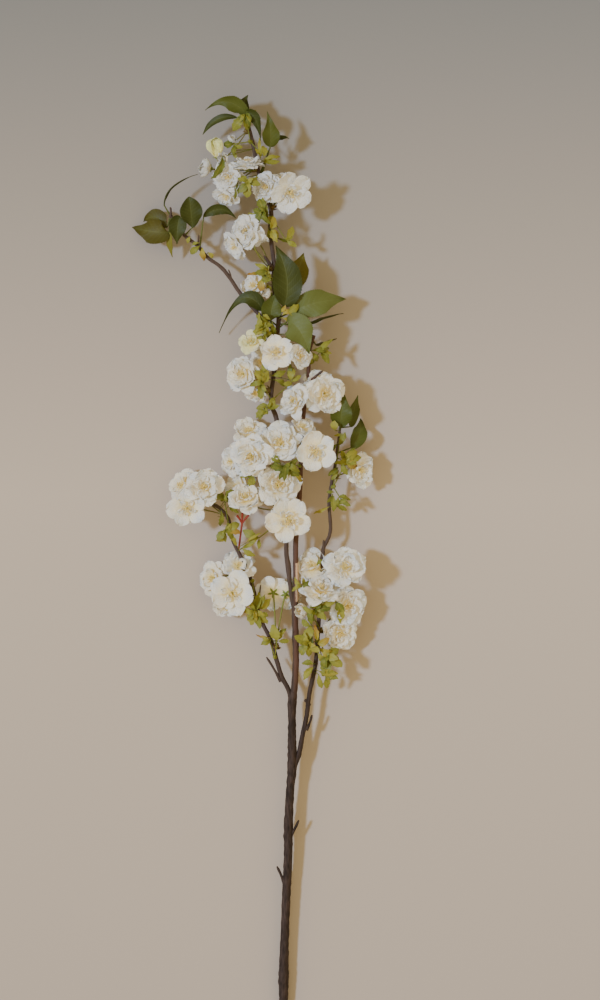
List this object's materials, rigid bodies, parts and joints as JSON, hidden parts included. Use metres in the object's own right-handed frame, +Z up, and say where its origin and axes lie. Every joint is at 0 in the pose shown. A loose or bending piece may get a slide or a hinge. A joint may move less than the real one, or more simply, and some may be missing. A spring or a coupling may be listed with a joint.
{
  "type": "cherry blossom sprig",
  "caption": "Long flowering cherry branch lying on its back: forked woody stem, bunches of double white blooms, lime leaflets and dark green leaves.",
  "frame": {"origin": "on the surface the sprig lies on, under the middle of its bounding box", "axes": "+X across the sprig, +Y from the cut end to the flowering tip, +Z up from the surface"},
  "size_m": [0.2544, 1.0424, 0.0643],
  "materials": {
    "bark": "matt brown bark texture, purple-brown towards the tips",
    "petal": "matt white woven fabric, cream at the heart",
    "leaflet": "satin lime green with orange-brown tips",
    "leaf": "satin dark green coated fabric with a pale midrib"
  },
  "bodies": {
    "root": {"woody_branch": "bark", "blooms_tip": "petal", "blooms_high": "petal", "blooms_upper": "petal", "blooms_upper_left": "petal", "blooms_side": "petal", "blooms_middle": "petal", "blooms_middle_left": "petal", "blooms_middle_right": "petal", "blooms_heart_left": "petal", "blooms_heart_right": "petal", "blooms_low_heart": "petal", "blooms_far_left": "petal", "blooms_lower_left": "petal", "blooms_lower_stalk": "petal", "blooms_lower_right": "petal", "blooms_low_right": "petal", "blooms_far_right": "petal", "leaf_tip_long": "leaf", "leaf_tip_short": "leaf", "leaf_tip_right": "leaf", "leaf_tip_left": "leaf", "leaf_high_right": "leaf", "leaf_high_edge": "leaf", "leaf_wing_far": "leaf", "leaf_wing_back": "leaf", "leaf_wing_down": "leaf", "leaf_wing_broad": "leaf", "leaf_wing_right": "leaf", "leaf_wing_edge": "leaf", "leaf_wing_drop": "leaf", "leaf_crown_broad": "leaf", "leaf_crown_back": "leaf", "leaf_crown_right": "leaf", "leaf_crown_left": "leaf", "leaf_crown_low": "leaf", "leaf_crown_edge": "leaf", "leaf_crown_thin": "leaf", "leaf_crown_droop": "leaf", "leaf_end_broad": "leaf", "leaf_end_side": "leaf", "leaf_end_right": "leaf", "leaflets_tip": "leaflet", "leaflets_high": "leaflet", "leaflets_upper": "leaflet", "leaflets_upper_left": "leaflet", "leaflets_side": "leaflet", "leaflets_middle": "leaflet", "leaflets_middle_left": "leaflet", "leaflets_middle_right": "leaflet", "leaflets_heart_left": "leaflet", "leaflets_heart_right": "leaflet", "leaflets_low_heart": "leaflet", "leaflets_far_left": "leaflet", "leaflets_lower_left": "leaflet", "leaflets_lower_stalk": "leaflet", "leaflets_lower_right": "leaflet", "leaflets_low_right": "leaflet", "leaflets_far_right": "leaflet"}
  },
  "joints": []
}
